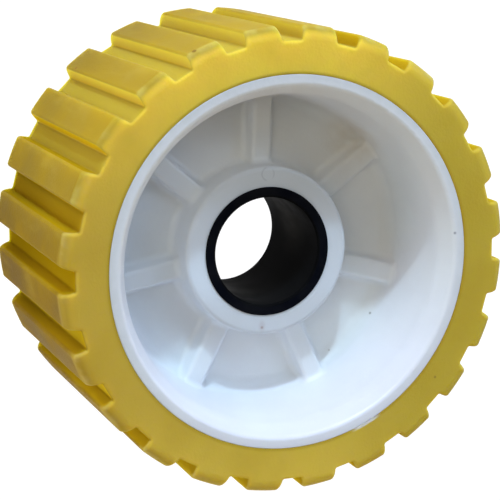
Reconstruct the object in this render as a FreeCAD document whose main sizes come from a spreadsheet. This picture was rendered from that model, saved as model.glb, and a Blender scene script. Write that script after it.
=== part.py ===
import FreeCAD, Part
import math
import os
import Sketcher

# Boat trailer roller: a moulded hub with ribbed recesses in both ends, a lugged tyre around it
# and a plain bush in its middle. The axis is Z, one end rests on Z = 0, and rib one lies along +X.
# Lengths are in mm and angles in degrees. Each body is drawn as its upper half, from the middle
# of the width, and mirrored.

SIZES = {
    # whole roller
    "overall_diameter": 120.0,
    "overall_width": 70.0,
    # tyre, from its tread inwards
    "tyre_thickness": 12.0,
    "lug_count": 24,
    "groove_depth": 3.6,
    "groove_floor_width": 5.0,
    "groove_flank_angle": 18.0,
    "groove_root_radius": 0.6,
    "lug_nose_radius": 3.4,
    "lug_corner_radius": 0.9,
    "groove_phase": 2.16,
    "rim_edge_radius": 0.2,
    # recess in each end of the hub, from the rim inwards and from the end face down
    "rim_land": 2.8,
    "mouth_radius": 1.4,
    "mouth_flare": 2.6,
    "mouth_depth": 5.0,
    "throat_radius": 8.0,
    "wall_draft": 2.6,
    "wall_foot_radius": 4.5,
    "boss_depth": 18.0,
    "rib_step": 6.3,
    # ribs, and the pockets between them
    "rib_count": 7,
    "rib_width": 5.2,
    "rib_height": 4.5,
    "rib_draft": 8.0,
    "rib_edge_radius": 1.2,
    "rib_foot_radius": 1.8,
    # bush and boss, from the bore outwards
    "bore_diameter": 28.5,
    "bush_thickness": 2.75,
    "bush_stand_out": 0.2,
    "bush_lip_radius": 0.6,
    "boss_thickness": 5.3,
    "boss_edge_radius": 1.2,
    "boss_foot_radius": 2.0,
}

# Levels are heights above the middle of the width, and radii are taken from the axis.
DERIVED = {
    "half_width": "=overall_width / 2",
    "tread_radius": "=overall_diameter / 2",
    "rim_radius": "=tread_radius - tyre_thickness",
    "groove_floor_radius": "=tread_radius - groove_depth",
    "cutter_radius": "=tread_radius + groove_depth / 2",
    "cutter_floor_half": "=groove_floor_width / 2",
    "cutter_top_half": "=cutter_floor_half + 1.5 * groove_depth * tan(groove_flank_angle * 1 deg)",
    "mouth_edge": "=rim_radius - rim_land",
    "throat_edge": "=mouth_edge - mouth_flare",
    "pocket_edge": "=throat_edge - wall_draft",
    "throat_level": "=half_width - mouth_depth",
    "boss_level": "=half_width - boss_depth",
    "rib_top_level": "=boss_level - rib_step",
    "pocket_floor_level": "=rib_top_level - rib_height",
    "rib_root_level": "=pocket_floor_level / 2",
    "half_rib": "=rib_width / 2",
    "half_rib_root": "=half_rib + (rib_top_level - rib_root_level) * tan(rib_draft * 1 deg)",
    "bore_radius": "=bore_diameter / 2",
    "bush_radius": "=bore_radius + bush_thickness",
    "bush_level": "=boss_level + bush_stand_out",
    "boss_radius": "=bush_radius + boss_thickness",
    "rib_start": "=(bush_radius + boss_radius) / 2",
    "rib_length": "=(pocket_edge + rim_radius) / 2 - rib_start",
}

SMALL = 1e-4

doc = FreeCAD.newDocument("boat_trailer_roller")
sheet = doc.addObject("Spreadsheet::Sheet", "Sizes")
for row, (alias, content) in enumerate({**SIZES, **DERIVED}.items(), start=1):
    sheet.set("A%d" % row, alias)
    sheet.set("B%d" % row, str(content))
    sheet.setAlias("B%d" % row, alias)
doc.recompute()


def size(alias):
    """A named size as a number."""
    return float(sheet.get(alias))


def plane(body, role):
    """One of the body's own origin planes or axes."""
    return next(item for item in body.Origin.OriginFeatures if item.Role == role)


def new_body(name, turn="0"):
    """A body whose middle plane is half the width above Z = 0, turned about Z."""
    body = doc.addObject("PartDesign::Body", name)
    body.Label = name
    body.Placement = FreeCAD.Placement(FreeCAD.Vector(), FreeCAD.Rotation(FreeCAD.Vector(0, 0, 1), 0))
    body.setExpression(".Placement.Base.z", "Sizes.half_width")
    body.setExpression(".Placement.Rotation.Angle", turn)
    return body


def new_sketch(body, name, role):
    """A sketch on an origin plane of the body."""
    sketch = body.newObject("Sketcher::SketchObject", name)
    sketch.AttachmentSupport = [(plane(body, role), "")]
    sketch.MapMode = "FlatFace"
    return sketch


def bind(sketch, kind, *where, to, sign=1):
    """A dimension that follows the named size."""
    number = sketch.addConstraint(Sketcher.Constraint(kind, *where, sign * size(to)))
    sketch.setExpression("Constraints[%d]" % number, "%sSizes.%s" % ("-" if sign < 0 else "", to))


def place_point(sketch, where, x, y):
    """Holds a point at two named sizes from the sketch origin. None means on that axis."""
    for kind, name, axis in (("DistanceX", x, -2), ("DistanceY", y, -1)):
        if name is None:
            sketch.addConstraint(Sketcher.Constraint("PointOnObject", *where, axis))
        else:
            bind(sketch, kind, -1, 1, *where, to=name.lstrip("-"), sign=-1 if name[0] == "-" else 1)


def number_of(name):
    """The number that a corner's size name stands for."""
    if name is None:
        return 0.0
    return -size(name[1:]) if name[0] == "-" else size(name)


def outline(body, name, role, corners):
    """A closed outline of straight lines. Each corner is (x, y) or (x, y, radius), all size names.

    A corner with a radius gets a tangent arc, and the sharp corner stays as a point on both lines.
    """
    sketch = new_sketch(body, name, role)
    points = [FreeCAD.Vector(number_of(corner[0]), number_of(corner[1]), 0) for corner in corners]
    count = len(points)
    trims = []
    for i, corner in enumerate(corners):
        before = points[i - 1] - points[i]
        after = points[(i + 1) % count] - points[i]
        reach = size(corner[2]) / math.tan(before.getAngle(after) / 2) if len(corner) > 2 else 0.0
        starts = points[i] + before.normalize() * reach
        ends = points[i] + after.normalize() * reach
        trims.append((starts, ends))
    lines = [
        sketch.addGeometry(Part.LineSegment(trims[i][1], trims[(i + 1) % count][0]), False)
        for i in range(count)
    ]
    for i, corner in enumerate(corners):
        into, out = lines[i - 1], lines[i]
        if len(corner) == 2:
            sketch.addConstraint(Sketcher.Constraint("Coincident", into, 2, out, 1))
            place_point(sketch, (out, 1), corner[0], corner[1])
            continue
        arc, starts_first = corner_arc(sketch, points[i], trims[i], size(corner[2]))
        first, last = (1, 2) if starts_first else (2, 1)
        sketch.addConstraint(Sketcher.Constraint("Tangent", into, 2, arc, first))
        sketch.addConstraint(Sketcher.Constraint("Tangent", arc, last, out, 1))
        bind(sketch, "Radius", arc, to=corner[2])
        sharp = sketch.addGeometry(Part.Point(points[i]), True)
        sketch.addConstraint(Sketcher.Constraint("PointOnObject", sharp, 1, into))
        sketch.addConstraint(Sketcher.Constraint("PointOnObject", sharp, 1, out))
        place_point(sketch, (sharp, 1), corner[0], corner[1])
    return sketch


def corner_arc(sketch, corner, trim, radius):
    """Adds the arc that rounds a corner. Says too whether it runs from the first trim point."""
    starts, ends = trim
    inward = (starts + ends) * 0.5 - corner
    reach = (starts - corner).Length
    centre = corner + inward.normalize() * math.hypot(reach, radius)
    a, b = [math.atan2(p.y - centre.y, p.x - centre.x) for p in (starts, ends)]
    turns_left = (b - a) % (2 * math.pi) < math.pi
    if not turns_left:
        a, b = b, a
    circle = Part.Circle(centre, FreeCAD.Vector(0, 0, 1), radius)
    return sketch.addGeometry(Part.ArcOfCircle(circle, a, b), False), turns_left


def revolve(body, name, sketch):
    """A full turn of the sketch about the body's Z axis."""
    feature = body.newObject("PartDesign::Revolution", name)
    feature.Profile = sketch
    feature.ReferenceAxis = (plane(body, "Z_Axis"), [""])
    feature.Angle = 360.0
    body.Tip = feature
    doc.recompute()
    return feature


def extrude(body, kind, name, sketch, length, backwards=False):
    """A pad or pocket of the sketch, as long as the named size."""
    before = body.Shape.Volume
    feature = body.newObject("PartDesign::" + kind, name)
    feature.Profile = sketch
    feature.Length = size(length)
    feature.setExpression("Length", "Sizes.%s" % length)
    feature.Reversed = backwards
    body.Tip = feature
    doc.recompute()
    assert (body.Shape.Volume > before) == (kind == "Pad"), name
    return feature


def repeat(body, feature, count):
    """The feature repeated evenly around the body's Z axis."""
    pattern = body.newObject("PartDesign::PolarPattern", feature.Name + "_ring")
    pattern.Originals = [feature]
    pattern.Axis = (plane(body, "Z_Axis"), [""])
    pattern.Angle = 360.0
    pattern.Occurrences = int(size(count))
    pattern.setExpression("Occurrences", "Sizes.%s" % count)
    body.Tip = pattern
    doc.recompute()
    return pattern


def round_edges(body, name, radius, picked):
    """A fillet on every edge of the body for which picked(edge) is true."""
    base = body.Tip
    names = ["Edge%d" % (i + 1) for i, edge in enumerate(base.Shape.Edges) if picked(edge)]
    assert names, name
    feature = body.newObject("PartDesign::Fillet", name)
    feature.Base = (base, names)
    feature.Radius = size(radius)
    feature.setExpression("Radius", "Sizes.%s" % radius)
    body.Tip = feature
    doc.recompute()
    return feature


def mirror_half(body, name):
    """The finished upper half and its mirror image as one solid."""
    feature = body.newObject("PartDesign::Mirrored", name)
    feature.TransformMode = "Whole shape"
    feature.MirrorPlane = (plane(body, "XY_Plane"), [""])
    body.Tip = feature
    doc.recompute()
    return feature


def middle_of(edge):
    """The point halfway along an edge, as distance from the Z axis and height."""
    point = edge.valueAt((edge.FirstParameter + edge.LastParameter) / 2)
    return math.hypot(point.x, point.y), point.z


def is_level(edge, level):
    """True for an edge that lies wholly at that height."""
    box = edge.BoundBox
    return abs(box.ZMin - level) < SMALL and abs(box.ZMax - level) < SMALL


def is_straight(edge):
    return isinstance(edge.Curve, (Part.Line, Part.LineSegment))


def is_upright(edge):
    """True for a straight edge parallel to the axis."""
    box = edge.BoundBox
    return is_straight(edge) and box.XLength < SMALL and box.YLength < SMALL


def build_tyre():
    """A ring with noses at both ends, and bevelled grooves that leave the lugs standing."""
    body = new_body("tyre", "Sizes.groove_phase * 1 deg")
    section = outline(body, "tyre_section", "XZ_Plane", [
        ("rim_radius", None),
        ("tread_radius", None),
        ("tread_radius", "half_width", "lug_nose_radius"),
        ("rim_radius", "half_width", "rim_edge_radius"),
    ])
    revolve(body, "tyre_ring", section)
    profile = outline(body, "groove_section", "XY_Plane", [
        ("groove_floor_radius", "-cutter_floor_half", "groove_root_radius"),
        ("cutter_radius", "-cutter_top_half"),
        ("cutter_radius", "cutter_top_half"),
        ("groove_floor_radius", "cutter_floor_half", "groove_root_radius"),
    ])
    repeat(body, extrude(body, "Pocket", "groove", profile, "half_width", True), "lug_count")
    round_edges(body, "lug_corners", "lug_corner_radius", is_lug_corner)
    mirror_half(body, "tyre_whole")
    return body


def is_lug_corner(edge):
    """A straight edge along the top of a lug. The fillet follows on over the nose."""
    return is_upright(edge) and middle_of(edge)[0] > size("tread_radius") - SMALL


def build_hub():
    """The moulded hub: rim, flared recess wall, closed web, boss and the ribs between them."""
    body = new_body("hub")
    section = outline(body, "hub_section", "XZ_Plane", [
        ("bush_radius", None),
        ("rim_radius", None),
        ("rim_radius", "half_width", "rim_edge_radius"),
        ("mouth_edge", "half_width", "mouth_radius"),
        ("throat_edge", "throat_level", "throat_radius"),
        ("pocket_edge", "pocket_floor_level", "wall_foot_radius"),
        ("boss_radius", "pocket_floor_level", "boss_foot_radius"),
        ("boss_radius", "boss_level", "boss_edge_radius"),
        ("bush_radius", "boss_level"),
    ])
    revolve(body, "hub_form", section)
    profile = outline(body, "rib_section", "YZ_Plane", [
        ("-half_rib_root", "rib_root_level"),
        ("half_rib_root", "rib_root_level"),
        ("half_rib", "rib_top_level", "rib_edge_radius"),
        ("-half_rib", "rib_top_level", "rib_edge_radius"),
    ])
    profile.setExpression(".AttachmentOffset.Base.z", "Sizes.rib_start")
    repeat(body, extrude(body, "Pad", "rib", profile, "rib_length"), "rib_count")
    floor = size("pocket_floor_level")
    round_edges(body, "rib_feet", "rib_foot_radius", lambda edge: is_straight(edge) and is_level(edge, floor))
    mirror_half(body, "hub_whole")
    return body


def build_bush():
    """A plain sleeve, rounded at the ends of its bore, that stands out a little from the boss."""
    body = new_body("bush")
    section = outline(body, "bush_section", "XZ_Plane", [
        ("bore_radius", None),
        ("bush_radius", None),
        ("bush_radius", "bush_level"),
        ("bore_radius", "bush_level", "bush_lip_radius"),
    ])
    revolve(body, "bush_half", section)
    mirror_half(body, "bush_whole")
    return body


bodies = [build_tyre(), build_hub(), build_bush()]
doc.recompute()

for item in doc.Objects:
    assert not {"Invalid", "Error"} & set(item.State), item.Name

os.makedirs("parts", exist_ok=True)
for body in bodies:
    assert not body.Shape.isNull() and body.Shape.isValid(), body.Label
    body.Shape.exportStep("parts/%s.step" % body.Label)
    print(body.Label, len(body.Shape.Solids), round(body.Shape.Volume), body.Shape.BoundBox)
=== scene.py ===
import math

import bpy
from mathutils import Matrix, Vector

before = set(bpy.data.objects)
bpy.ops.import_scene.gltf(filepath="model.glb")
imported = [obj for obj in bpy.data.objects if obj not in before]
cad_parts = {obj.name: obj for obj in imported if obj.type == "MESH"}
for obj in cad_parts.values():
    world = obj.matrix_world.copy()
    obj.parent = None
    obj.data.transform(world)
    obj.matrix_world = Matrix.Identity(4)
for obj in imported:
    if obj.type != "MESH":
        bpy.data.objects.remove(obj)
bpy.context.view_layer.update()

# Lengths are in mm and angles in degrees, and turned into metres and radians where Blender takes them.
MM = 0.001

# The part's own sizes that the materials follow: its half width, radii, the level of the noses' start
# from the middle of the width, and the boss's height above the floor.
HALF_WIDTH = 35.0
TREAD = 60.0
NOSE_ROUND = 3.4
NOSE_LEVEL = HALF_WIDTH - NOSE_ROUND
NOSE_CENTRE = TREAD - NOSE_ROUND
GROOVE_FLOOR = TREAD - 3.6
RIM_EDGE = 48.0
BOSS_TOP = 52.0

# The hub's first rib lies along +X and is turned by this much from the image's up.
FACE_TURN = 2.2

# The camera, fitted to the photo. Its place is taken from the middle of the upper end face, along the
# image's up, the image's left and outwards. Its view axis leans by the tilt from the roller's axis.
CAMERA_PLACE = (85.34, 178.84, 430.67)
VIEW_TILT = 23.3438
VIEW_TURN = 63.9708
FOCAL_LENGTH = 135.64
SENSOR_WIDTH = 36.0

# Directions in the part's frame: to the image's upper left, where painted light makes the tyre palest, and
# to the half of the tread that the photo shows.
UPPER_LEFT = (0.92, 0.39, 0)
SEEN_HALF = (0.43, 0.90, 0)

BLACK = (0.0, 0.0, 0.0)

scene = bpy.context.scene
scene.view_settings.view_transform = "Standard"
scene.view_settings.look = "None"


def face_vector(up, left, out):
    """A vector given along the image's up and left on the end face and out of it, in the part's frame."""
    turn = math.radians(FACE_TURN)
    c, s = math.cos(turn), math.sin(turn)
    return Vector((up * c + left * s, -up * s + left * c, out))


def toward(tilt, turn):
    """The direction at a tilt from the roller's axis, turned from the image's up to its left."""
    t, p = math.radians(tilt), math.radians(turn)
    return face_vector(math.sin(t) * math.cos(p), math.sin(t) * math.sin(p), math.cos(t))


def add_camera():
    data = bpy.data.cameras.new("camera")
    data.sensor_width = SENSOR_WIDTH
    data.lens = FOCAL_LENGTH
    data.clip_start = 10 * MM
    data.clip_end = 60000 * MM
    camera = bpy.data.objects.new("camera", data)
    scene.collection.objects.link(camera)
    back = toward(VIEW_TILT, VIEW_TURN)
    upright = face_vector(0, 1, 0).cross(back).normalized()
    turn = Matrix((upright.cross(back), upright, back)).transposed().to_4x4()
    place = face_vector(*CAMERA_PLACE) + Vector((0, 0, 2 * HALF_WIDTH))
    camera.matrix_world = Matrix.Translation(place * MM) @ turn
    scene.camera = camera


def add_sun(name, direction, strength, angle, colour):
    data = bpy.data.lights.new(name, "SUN")
    data.energy = strength
    data.angle = math.radians(angle)
    data.color = colour
    light = bpy.data.objects.new(name, data)
    scene.collection.objects.link(light)
    light.rotation_mode = "QUATERNION"
    light.rotation_quaternion = direction.to_track_quat("Z", "Y")


def add_world(colour, strength):
    world = bpy.data.worlds.new("studio")
    world.use_nodes = True
    back = world.node_tree.nodes["Background"]
    back.inputs["Color"].default_value = (*colour, 1)
    back.inputs["Strength"].default_value = strength
    scene.world = world


class Material:
    """A principled material whose nodes are added and linked by short calls.

    Its place, radius and height are in mm, in the part's frame.
    """

    def __init__(self, name, roughness, specular):
        self.data = bpy.data.materials.new(name)
        self.data.use_nodes = True
        self.tree = self.data.node_tree
        self.shader = self.tree.nodes["Principled BSDF"]
        self.set("Roughness", roughness)
        self.set("Specular IOR Level", specular)
        coordinates = self.tree.nodes.new("ShaderNodeTexCoord")
        self.place = self.times(coordinates.outputs["Object"], (1 / MM, 1 / MM, 1 / MM))
        self.normal = coordinates.outputs["Normal"]
        self.radius = self.vector("LENGTH", self.times(self.place, (1, 1, 0))).outputs["Value"]
        split = self.tree.nodes.new("ShaderNodeSeparateXYZ")
        self.feed(split.inputs[0], self.place)
        self.height = split.outputs["Z"]

    def feed(self, socket, value):
        """Links a node's output to the socket, or sets the socket to a number or colour."""
        if isinstance(value, bpy.types.NodeSocket):
            self.tree.links.new(value, socket)
        elif isinstance(value, tuple) and len(socket.default_value) == 4:
            socket.default_value = (*value, 1)
        else:
            socket.default_value = value

    def set(self, name, value):
        self.feed(self.shader.inputs[name], value)

    def vector(self, operation, a, b=None):
        node = self.tree.nodes.new("ShaderNodeVectorMath")
        node.operation = operation
        self.feed(node.inputs[0], a)
        if b is not None:
            self.feed(node.inputs[1], b)
        return node

    def times(self, a, b):
        return self.vector("MULTIPLY", a, b).outputs["Vector"]

    def distance(self, point, stretch=(1, 1, 1)):
        """How far the place is from the point, after both are stretched along the three axes."""
        place, point = self.place, Vector(point)
        if stretch != (1, 1, 1):
            place, point = self.times(place, stretch), point * Vector(stretch)
        return self.vector("DISTANCE", place, point).outputs["Value"]

    def along(self, direction):
        """How far the place lies from the part's origin along the direction."""
        return self.vector("DOT_PRODUCT", self.place, direction).outputs["Value"]

    def facing(self, direction):
        """1 where the surface faces the direction, and -1 where it faces away."""
        return self.vector("DOT_PRODUCT", self.normal, direction).outputs["Value"]

    def maths(self, operation, a, b=0.0):
        node = self.tree.nodes.new("ShaderNodeMath")
        node.operation = operation
        self.feed(node.inputs[0], a)
        self.feed(node.inputs[1], b)
        return node.outputs[0]

    def product(self, a, b):
        return self.maths("MULTIPLY", a, b)

    def hypotenuse(self, a, b):
        return self.maths("SQRT", self.maths("ADD", self.product(a, a), self.product(b, b)))

    def from_middle(self):
        """How far the place lies above or below the middle of the width."""
        return self.maths("ABSOLUTE", self.maths("SUBTRACT", self.height, HALF_WIDTH))

    def ease(self, value, start, end, low=0.0, high=1.0):
        """A smooth step from low at start to high at end."""
        node = self.tree.nodes.new("ShaderNodeMapRange")
        node.interpolation_type = "SMOOTHSTEP"
        for socket, number in zip(node.inputs, (value, start, end, low, high)):
            self.feed(socket, number)
        return node.outputs[0]

    def band(self, value, start, full, fade, end):
        """1 between full and fade, and 0 before start and past end."""
        return self.product(self.ease(value, start, full), self.ease(value, end, fade))

    def noise(self, size, detail, stretch=(1, 1, 1)):
        """Noise whose lumps have about this size."""
        node = self.tree.nodes.new("ShaderNodeTexNoise")
        self.feed(node.inputs["Vector"], self.times(self.place, tuple(s / size for s in stretch)))
        node.inputs["Scale"].default_value = 1.0
        node.inputs["Detail"].default_value = detail
        return node.outputs["Fac"]

    def mix(self, factor, a, b):
        node = self.tree.nodes.new("ShaderNodeMix")
        node.data_type = "RGBA"
        self.feed(node.inputs[0], factor)
        self.feed(node.inputs[6], a)
        self.feed(node.inputs[7], b)
        return node.outputs[2]

    def spot(self, point, radius, soft):
        """1 inside a ball round the point, and 0 outside it, with a soft edge of this width."""
        return self.ease(self.distance(point), radius + soft / 2, radius - soft / 2)

    def specks(self, colour, rows):
        """The colour with small dirt specks. Each row is a place, a radius and a tint."""
        for point, radius, tint in rows:
            colour = self.mix(self.spot(point, radius, 0.5), colour, tint)
        return colour

    def bump(self, height, depth):
        node = self.tree.nodes.new("ShaderNodeBump")
        node.inputs["Strength"].default_value = 1.0
        node.inputs["Distance"].default_value = depth * MM
        self.feed(node.inputs["Height"], height)
        self.set("Normal", node.outputs[0])

    def glow_through(self, weight, metres, shares):
        """Light that spreads below the surface, by a scale in metres and each colour's share of it."""
        self.set("Subsurface Weight", weight)
        self.set("Subsurface Scale", metres)
        self.set("Subsurface Radius", shares)

    def cover(self, node):
        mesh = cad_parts[node].data
        mesh.materials.clear()
        mesh.materials.append(self.data)


def tyre_side(m, across, upper):
    """1 on the tyre's side face and 0 on its tread. The change lies on the lugs' noses or starts before."""
    lower_start = m.ease(m.height, 30, 40, 31.2, 28.5)
    start = m.ease(upper, 15, 50, lower_start, 33.7)
    end = m.ease(upper, 15, 50, 34.6, HALF_WIDTH)
    start = m.ease(m.radius, NOSE_CENTRE, 57.4, 34.1, start)
    end = m.ease(m.radius, NOSE_CENTRE, 57.4, HALF_WIDTH, end)
    return m.ease(across, start, end)


def tyre_groove(m, across, upper):
    """1 in the tread's grooves and 0 on the lugs, on their noses and on the side face."""
    past_nose = m.maths("MAXIMUM", m.maths("SUBTRACT", across, NOSE_LEVEL), 0.0)
    above_centre = m.maths("SUBTRACT", m.radius, NOSE_CENTRE)
    from_centre = m.hypotenuse(past_nose, above_centre)
    under_nose = m.ease(from_centre, 3.2, m.ease(upper, 15, 50, 2.2, 2.6))
    return m.product(under_nose, m.ease(m.radius, 55.6, GROOVE_FLOOR))


def tread_colour(m, upper):
    """The lugs' tops with painted light and shade: brown at the lower left, straw at the upper left, darker
    to the far end.
    """
    brown, straw = (0.192, 0.108, 0.001), (0.330, 0.213, 0.011)
    colour = m.mix(m.ease(upper, 15, 55), brown, straw)
    # Painted shade: the lugs' tops darken toward the far end.
    return m.mix(m.ease(m.height, 60, 5, 0.0, 0.30), colour, (0.02, 0.006, 0.0005))


def face_colour(m):
    """The side face: yellow, with painted light, paler to the image's top and a little to its bottom, and
    painted shade, duller to its right.
    """
    colour = m.mix(m.ease(m.along((1, 0, 0)), 5, 56), (0.64, 0.445, 0.066), (0.95, 0.68, 0.088))
    colour = m.mix(m.ease(m.along((-1, 0, 0)), 30, 56), colour, (0.73, 0.53, 0.078))
    return m.mix(m.ease(m.along((0, -1, 0)), 5, 45, 0.0, 0.8), colour, (0.57, 0.43, 0.055))


def groove_colour(m, upper):
    """The grooves' floors and flanks with painted light and shade: deeper in tone where they face the
    light, and to the far end.
    """
    floor = m.mix(m.ease(upper, 0, 30), (0.60, 0.38, 0.010), (0.50, 0.28, 0.002))
    floor = m.mix(m.ease(upper, 26, 55), floor, (0.80, 0.57, 0.055))
    flank = m.mix(m.ease(upper, -10, 14), (0.66, 0.42, 0.012), (0.66, 0.40, 0.008))
    flank = m.mix(m.ease(upper, 46, 58), flank, (0.78, 0.58, 0.075))
    # Painted shade where the surface faces the image's upper left.
    lit = m.ease(m.facing(UPPER_LEFT), -0.3, 0.8)
    share = m.maths("MINIMUM", m.ease(upper, -12, 3, 0.36, 0.54), m.ease(upper, 46, 58, 0.54, 0.42))
    flank = m.mix(m.product(lit, share), flank, BLACK)
    floor = m.mix(m.product(lit, 0.42), floor, BLACK)
    colour = m.mix(m.ease(m.radius, 56.5, 57.2), floor, flank)
    # Painted shade toward the far end.
    far_share = m.ease(upper, 50, 30, 0.10, 0.40)
    return m.mix(m.ease(m.height, 62, 10, 0.0, far_share), colour, (0.03, 0.01, 0.0005))


def nose_marks(m, colour, across, upper, haze):
    """The colour with painted shade on the lugs' noses, and pale marks there that are partly scuffs and
    partly a painted highlight.
    """
    # Painted shade on the noses, stronger away from the upper left.
    shade = m.product(m.band(across, 30.2, 32.2, 33.7, HALF_WIDTH), m.ease(upper, 50, 20, 0.0, 0.30))
    colour = m.mix(shade, colour, (0.07, 0.045, 0.001))
    tint = m.mix(m.ease(upper, 15, 45), (0.60, 0.48, 0.20), (0.44, 0.35, 0.09))
    least, most = m.ease(upper, 15, 45, 0.0, 0.3), m.ease(upper, 15, 45, 0.35, 0.9)
    # Pale marks on the noses: partly scuffs, partly a painted highlight that grows toward the upper left.
    scuff = m.product(m.band(across, NOSE_LEVEL, 33.0, 33.6, 34.9), m.ease(haze, 0.40, 0.65, least, most))
    return m.mix(scuff, colour, tint)


def tyre_material():
    m = Material("tyre_yellow", 0.42, 0.05)
    across = m.from_middle()
    upper = m.along(UPPER_LEFT)
    cloud = m.noise(18, 4.0)
    haze = m.noise(5, 4.0, (1, 1, 0.35))
    streak = m.noise(2.5, 4.0, (1, 1, 0.15))
    grain = m.noise(0.6, 2.0)
    side = tyre_side(m, across, upper)
    groove = tyre_groove(m, across, upper)
    unseen = m.ease(m.along(SEEN_HALF), 17, 3)
    tread = m.mix(unseen, tread_colour(m, upper), (0.38, 0.25, 0.010))
    deep = m.mix(unseen, groove_colour(m, upper), (0.42, 0.265, 0.008))
    colour = m.mix(side, tread, face_colour(m))
    colour = m.mix(m.ease(cloud, 0.4, 0.75, 0.0, 0.22), colour, (0.46, 0.28, 0.012))
    colour = m.mix(m.ease(haze, 0.5, 0.8, 0.0, 0.14), colour, (0.55, 0.42, 0.07))
    colour = nose_marks(m, colour, across, upper, haze)
    colour = m.mix(groove, colour, deep)
    colour = m.specks(colour, (
        ((53.49, 26.85, 67.55), 0.6, (0.20, 0.11, 0.02)),
        ((43.94, 40.85, 11.23), 0.4, (0.20, 0.05, 0.01)),
        ((-31.75, -41.34, 70.00), 0.3, (0.36, 0.24, 0.045)),
    ))
    dark_line = m.ease(m.radius, RIM_EDGE + 1.0, RIM_EDGE + 0.3, 0.0, 0.5)
    colour = m.mix(dark_line, colour, (0.52, 0.30, 0.02))
    # A painted highlight on the tyre's inner edge by the rim, at the image's lower right.
    at_rim = m.ease(m.radius, RIM_EDGE + 0.9, RIM_EDGE + 0.5)
    painted_rim_highlight = m.product(at_rim, m.spot((-43.0, -22.2, 70), 3.4, 3))
    colour = m.mix(painted_rim_highlight, colour, (0.85, 0.80, 0.62))
    m.set("Base Color", colour)
    m.set("Specular IOR Level", m.ease(groove, 0.0, 1.0, 0.009, 0.0))
    m.set("Roughness", m.ease(cloud, 0.3, 0.75, 0.38, 0.52))
    m.glow_through(1.0, m.ease(side, 0.0, 1.0, 14 * MM, 3 * MM), (1.0, 1.0, 0.25))
    m.bump(m.maths("ADD", m.product(streak, 0.7), grain), 0.08)
    return m


def boss_marks(m, colour):
    """The colour with the gate's speck and smear, and the ring that a moulding pin left, on the boss."""
    smear = m.distance((-19.9, 0.81, BOSS_TOP), (0.6, 1, 1))
    colour = m.mix(m.ease(smear, 1.3, 0.3, 0.0, 0.3), colour, (0.50, 0.40, 0.40))
    colour = m.mix(m.spot((-20.3, 0.8, BOSS_TOP), 0.3, 0.6), colour, (0.44, 0.33, 0.30))
    ring = m.band(m.distance((20.38, 0.51, BOSS_TOP)), 1.3, 1.6, 1.7, 2.0)
    open_top = m.ease(m.maths("ABSOLUTE", m.along((0, 1, 0))), 0.4, 1.3)
    return m.mix(m.product(m.product(ring, open_top), 0.35), colour, (0.42, 0.42, 0.44))


def hub_material():
    m = Material("hub_white", 0.36, 0.45)
    across = m.from_middle()
    cloud = m.noise(16, 4.0)
    scuff = m.noise(3, 4.0)
    grain = m.noise(0.8, 2.0)
    colour = m.mix(m.ease(cloud, 0.3, 0.75), (0.79, 0.80, 0.82), (0.83, 0.845, 0.86))
    # The boss's end carries painted light and shade: paler and bluer to the image's left, darker above and
    # below its middle.
    boss_end = m.product(m.ease(m.radius, 22.6, 21.6), m.ease(across, 16.0, 16.8))
    painted_light_beside = m.mix(m.ease(m.along((0, 1, 0)), -10, 10), (0.78, 0.80, 0.845), (0.84, 0.875, 0.94))
    painted_shade_above_below = m.ease(m.maths("ABSOLUTE", m.along((1, 0, 0))), 6, 18)
    colour = m.mix(boss_end, colour, m.mix(painted_shade_above_below, painted_light_beside, (0.705, 0.715, 0.73)))
    stain = m.product(m.spot((29.0, -26.5, 45.0), 6, 11), m.ease(scuff, 0.2, 0.7, 0.5, 1.0))
    colour = m.mix(m.product(stain, 0.32), colour, (0.50, 0.33, 0.13))
    colour = m.specks(colour, (
        ((6.51, -45.10, 69.83), 0.3, (0.22, 0.22, 0.28)),
        ((-20.14, -34.15, 43.12), 0.3, (0.36, 0.35, 0.34)),
        ((-30.24, -23.02, 41.70), 0.2, (0.50, 0.48, 0.46)),
    ))
    colour = boss_marks(m, colour)
    rim = m.product(m.ease(m.radius, 44.5, 47.5), m.ease(across, 33.0, 34.6))
    rim_tint = m.mix(m.ease(m.along((-0.9, -0.3, 0)), 10, 40), (0.72, 0.735, 0.74), (0.80, 0.80, 0.85))
    colour = m.mix(m.product(rim, m.ease(scuff, 0.3, 0.7, 0.5, 1.0)), colour, rim_tint)
    m.set("Base Color", colour)
    m.set("Roughness", m.ease(cloud, 0.3, 0.75, 0.3, 0.44))
    m.glow_through(0.25, 4 * MM, (1.0, 0.95, 0.9))
    m.bump(m.maths("ADD", m.product(cloud, 2.0), grain), 0.05)
    return m


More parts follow.
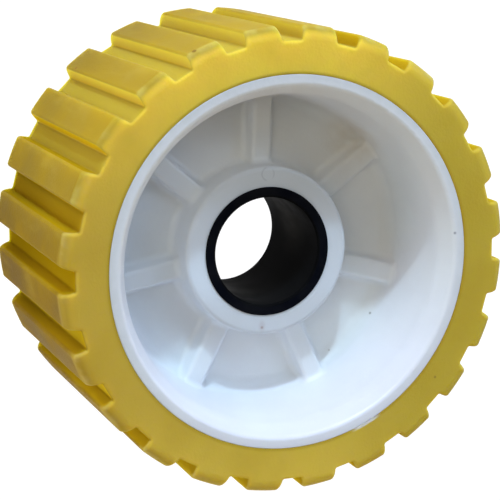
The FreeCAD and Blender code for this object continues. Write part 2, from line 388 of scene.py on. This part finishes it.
def bush_material():
    m = Material("bush_black", 0.5, 0.008)
    score = m.noise(3, 3.0, (1, 1, 0.3))
    cloud = m.noise(6, 4.0)
    lighter = m.ease(cloud, 0.35, 0.75)
    bore = m.ease(m.radius, 15.1, 14.5)
    # A paler patch on the bore's wall is a painted sheen, streaked by the score noise.
    painted_bore_sheen = m.product(m.spot((5.8, -13.0, 34.0), 6.5, 12), m.ease(score, 0.2, 0.7, 0.5, 1.0))
    bore_colour = m.mix(lighter, (0.004, 0.004, 0.0045), (0.007, 0.007, 0.007))
    bore_colour = m.mix(painted_bore_sheen, bore_colour, (0.034, 0.032, 0.030))
    end_colour = m.mix(lighter, (0.0035, 0.004, 0.007), (0.008, 0.008, 0.010))
    m.set("Base Color", m.mix(bore, end_colour, bore_colour))
    m.set("Specular IOR Level", m.ease(bore, 0.0, 1.0, 0.008, 0.002))
    m.set("Roughness", m.ease(cloud, 0.35, 0.7, 0.34, 0.46))
    m.bump(score, 0.005)
    return m


def add_floor():
    """A pale floor, wide enough that its edge lies far behind the part in every view."""
    mesh = bpy.data.meshes.new("floor")
    half = 25000 * MM
    corners = [(-half, -half, 0), (half, -half, 0), (half, half, 0), (-half, half, 0)]
    mesh.from_pydata(corners, [], [(0, 1, 2, 3)])
    floor = bpy.data.objects.new("floor", mesh)
    scene.collection.objects.link(floor)
    m = Material("paper_white", 0.9, 0.1)
    m.set("Base Color", m.mix(m.noise(300, 3.0), (0.14, 0.14, 0.15), (0.18, 0.18, 0.19)))
    m.set("Emission Color", (1, 1, 1))
    m.set("Emission Strength", 0.97)
    mesh.materials.append(m.data)


def add_lights():
    """A key from the image's top, whose rim shadow is seen in the recess, and broad fills all round."""
    add_world((0.95, 0.98, 1.0), 0.02)
    add_sun("key", toward(64.8, 12.5), 1.32, 3, (0.71, 1.01, 1.28))
    add_sun("key_soft", toward(65, 12.5), 0.30, 14, (0.91, 1.08, 1.01))
    add_sun("key_left", toward(72, 40), 0.69, 20, (1.00, 0.89, 1.11))
    add_sun("fill_right", toward(60, 292), 0.82, 40, (0.77, 0.96, 1.28))
    add_sun("fill_front", toward(28, 70), 0.41, 40, (1.07, 1.04, 0.89))
    add_sun("fill_left", toward(76, 110), 0.45, 40, (0.92, 1.09, 0.99))
    add_sun("fill_low", toward(76, 170), 0.40, 40, (1.30, 0.98, 0.72))
    add_sun("fill_up", toward(50, 340), 0.38, 40, (0.64, 0.98, 1.39))
    add_sun("fill_back", toward(76, 250), 0.48, 40, (1.32, 1.11, 0.58))
    add_sun("fill_top", toward(78, 350), 0.35, 30, (1.09, 0.55, 1.36))
    add_sun("fill_axis", toward(25, 100), 0.15, 50, (1.29, 1.07, 0.64))


add_camera()
add_lights()
add_floor()
tyre_material().cover("tyre")
hub_material().cover("hub")
bush_material().cover("bush")
